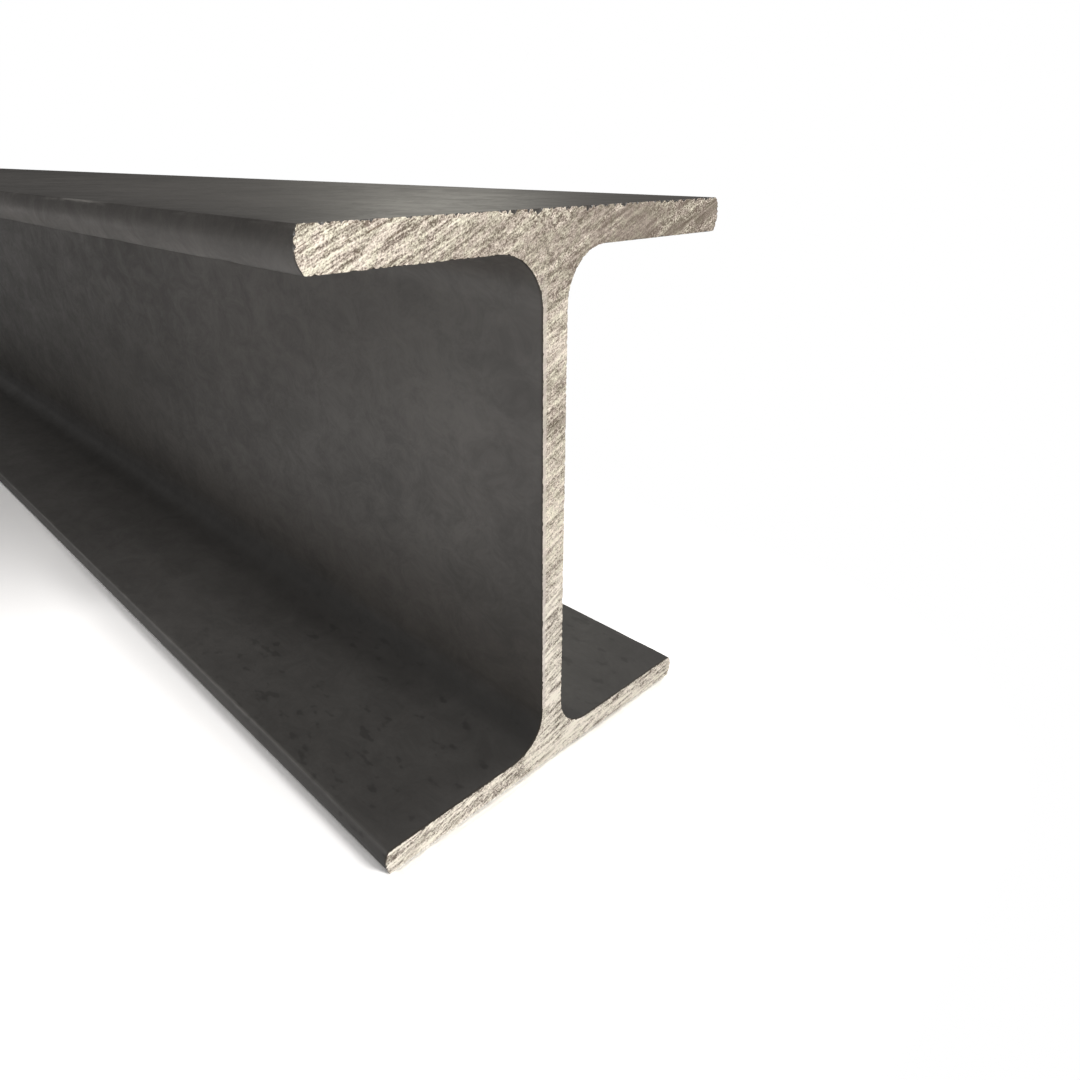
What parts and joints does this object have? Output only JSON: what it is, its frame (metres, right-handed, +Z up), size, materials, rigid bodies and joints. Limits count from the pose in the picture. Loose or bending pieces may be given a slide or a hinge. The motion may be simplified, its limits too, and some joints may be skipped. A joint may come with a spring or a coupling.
{
  "type": "steel i-beam",
  "caption": "Straight length of hot-rolled steel I-section with parallel flanges, root fillets and square sawn ends.",
  "frame": {"origin": "midway along the length, on the centre line of the lower flange's underside, at the level that the beam stands on", "axes": "+Z up through the web from the lower flange to the upper one, +Y along the length, +X across the flanges"},
  "size_m": [0.15, 1, 0.188],
  "materials": {
    "hot_rolled_steel": "dull grey-black mill scale as rolled, bare bright saw-marked steel on the two sawn ends"
  },
  "bodies": {
    "root": {"i_beam": "hot_rolled_steel"}
  },
  "joints": []
}
